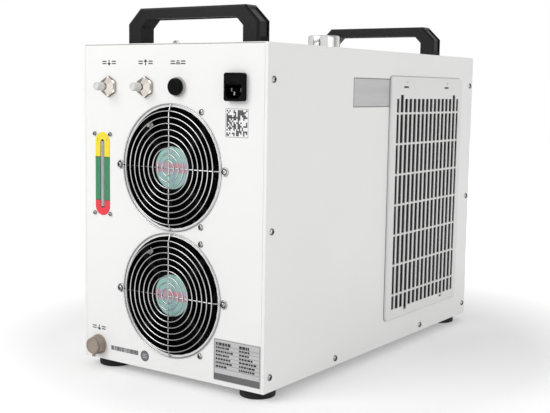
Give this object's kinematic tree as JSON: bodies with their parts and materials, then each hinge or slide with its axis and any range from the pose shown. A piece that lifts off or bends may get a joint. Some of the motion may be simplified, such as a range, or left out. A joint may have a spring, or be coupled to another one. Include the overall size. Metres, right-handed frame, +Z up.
{
  "type": "recirculating chiller",
  "caption": "Compact recirculating water chiller: steel housing with carry handles, side intake grilles, rear exhaust fans, water ports, level gauge, drain and fused mains inlet.",
  "frame": {"origin": "middle of the bounding box in X and Y, at the underside of the feet", "axes": "+X across the width, +Y out of the back where the water fittings are, +Z up"},
  "size_m": [0.2986, 0.586, 0.464],
  "materials": {
    "casing_paint": "smooth powder coat",
    "foot_rubber": "matte",
    "handle_plastic": "fine moulded grain",
    "handle_cap_plastic": "fine moulded grain",
    "grille_plastic": "smooth moulded",
    "filter_mesh": "open mesh",
    "condenser_fin": "thin pressed fins",
    "fan_frame_plastic": "glass-filled",
    "fan_rotor_plastic": "glass-filled",
    "guard_wire": "plated wire",
    "fitting_nickel": "nickel-plated brass",
    "dust_cap_plastic": "soft, slightly see-through",
    "alarm_ring": "moulded",
    "black_plastic": "moulded",
    "pin_metal": "nickel-plated",
    "fuse_glass": "clear tube",
    "gauge_plate": "printed bands of colour",
    "sight_glass": "clear tube",
    "drain_plastic": "moulded",
    "cap_chrome": "polished",
    "display_lens": "smoked",
    "button_plastic": "moulded",
    "tank_steel": "satin sheet",
    "lid_plastic": "moulded",
    "evaporator_steel": "pressed sheet",
    "pump_plastic": "moulded",
    "zinc_steel": "zinc-plated sheet",
    "compressor_paint": "gloss black",
    "copper_tube": "bare copper",
    "hose_rubber": "reinforced"
  },
  "bodies": {
    "housing": {"base_pan": "casing_paint", "cover": "casing_paint", "rear_panel": "casing_paint", "front_panel": "casing_paint", "feet": "foot_rubber", "handle_rear": "handle_plastic", "handle_front": "handle_plastic", "handle_caps": "handle_cap_plastic", "condenser_left": "condenser_fin", "condenser_right": "condenser_fin", "fan_frame_lower": "fan_frame_plastic", "fan_frame_upper": "fan_frame_plastic", "fan_guard_lower": "guard_wire", "fan_guard_upper": "guard_wire", "water_fittings": "fitting_nickel", "alarm_socket": "alarm_ring", "power_inlet": "black_plastic", "inlet_pins": "pin_metal", "level_gauge": "gauge_plate", "sight_tube": "sight_glass", "drain_body": "drain_plastic", "vent_plug": "cap_chrome", "controller": "black_plastic", "display_window": "display_lens", "switch_frame": "black_plastic", "tank": "tank_steel", "tank_lid": "lid_plastic", "evaporator": "evaporator_steel", "pump": "pump_plastic", "tank_stand": "zinc_steel", "compressor": "compressor_paint", "compressor_mounts": "foot_rubber", "refrigerant_lines": "copper_tube", "water_hoses": "hose_rubber", "electrical_box": "zinc_steel", "box_lid": "zinc_steel"},
    "lower_rotor": {"fan_rotor_lower": "fan_rotor_plastic"},
    "upper_rotor": {"fan_rotor_upper": "fan_rotor_plastic"},
    "left_grille": {"side_grille_left": "grille_plastic", "dust_filter_left": "filter_mesh"},
    "right_grille": {"side_grille_right": "grille_plastic", "dust_filter_right": "filter_mesh"},
    "filler_cap": {"fill_cap": "cap_chrome"},
    "drain_screw_cap": {"drain_cap": "drain_plastic"},
    "alarm_screw_cap": {"alarm_cap": "black_plastic"},
    "inlet_cap": {"inlet_dust_cap": "dust_cap_plastic"},
    "outlet_cap": {"outlet_dust_cap": "dust_cap_plastic"},
    "drawer": {"fuse_drawer": "black_plastic", "fuse": "fuse_glass"},
    "rocker": {"switch_rocker": "black_plastic"},
    "key_1": {"button_1": "button_plastic"},
    "key_2": {"button_2": "button_plastic"},
    "key_3": {"button_3": "button_plastic"},
    "key_4": {"button_4": "button_plastic"}
  },
  "joints": [
    {"name": "fan_spin_lower", "type": "hinge", "parent": "housing", "child": "lower_rotor", "pos_m": [-0.003, 0.237, 0.1106], "axis": [0, 1, 0], "continuous": true},
    {"name": "fan_spin_upper", "type": "hinge", "parent": "housing", "child": "upper_rotor", "pos_m": [-0.003, 0.237, 0.2682], "axis": [0, 1, 0], "continuous": true},
    {"name": "grille_tilt_left", "type": "hinge", "parent": "housing", "child": "left_grille", "pos_m": [0.1453, -0.12952, 0.046], "axis": [0, 1, 0], "range_deg": [0, 35]},
    {"name": "grille_tilt_right", "type": "hinge", "parent": "housing", "child": "right_grille", "pos_m": [-0.1453, -0.12952, 0.046], "axis": [0, -1, 0], "range_deg": [0, 35]},
    {"name": "filler_cap_turn", "type": "hinge", "parent": "housing", "child": "filler_cap", "pos_m": [-0.083, 0.05398, 0.425], "axis": [0, 0, 1], "continuous": true},
    {"name": "drain_cap_turn", "type": "hinge", "parent": "housing", "child": "drain_screw_cap", "pos_m": [0.119, 0.279, 0.0305], "axis": [0, 1, 0], "continuous": true},
    {"name": "alarm_cap_turn", "type": "hinge", "parent": "housing", "child": "alarm_screw_cap", "pos_m": [-0.0134, 0.274, 0.366], "axis": [0, 1, 0], "continuous": true},
    {"name": "inlet_cap_pull", "type": "slide", "parent": "housing", "child": "inlet_cap", "axis": [0, 1, 0], "range_m": [0, 0.03]},
    {"name": "outlet_cap_pull", "type": "slide", "parent": "housing", "child": "outlet_cap", "axis": [0, 1, 0], "range_m": [0, 0.03]},
    {"name": "fuse_drawer_slide", "type": "slide", "parent": "housing", "child": "drawer", "axis": [0, 1, 0], "range_m": [0, 0.02]},
    {"name": "power_switch_rock", "type": "hinge", "parent": "housing", "child": "rocker", "pos_m": [-0.07, -0.28702, 0.364], "axis": [-1, 0, 0], "range_deg": [0, 20]},
    {"name": "key_1_press", "type": "slide", "parent": "housing", "child": "key_1", "axis": [0, 1, 0], "range_m": [0, 0.0008], "stiffness_N_per_m": 400},
    {"name": "key_2_press", "type": "slide", "parent": "housing", "child": "key_2", "axis": [0, 1, 0], "range_m": [0, 0.0008], "stiffness_N_per_m": 400},
    {"name": "key_3_press", "type": "slide", "parent": "housing", "child": "key_3", "axis": [0, 1, 0], "range_m": [0, 0.0008], "stiffness_N_per_m": 400},
    {"name": "key_4_press", "type": "slide", "parent": "housing", "child": "key_4", "axis": [0, 1, 0], "range_m": [0, 0.0008], "stiffness_N_per_m": 400}
  ]
}
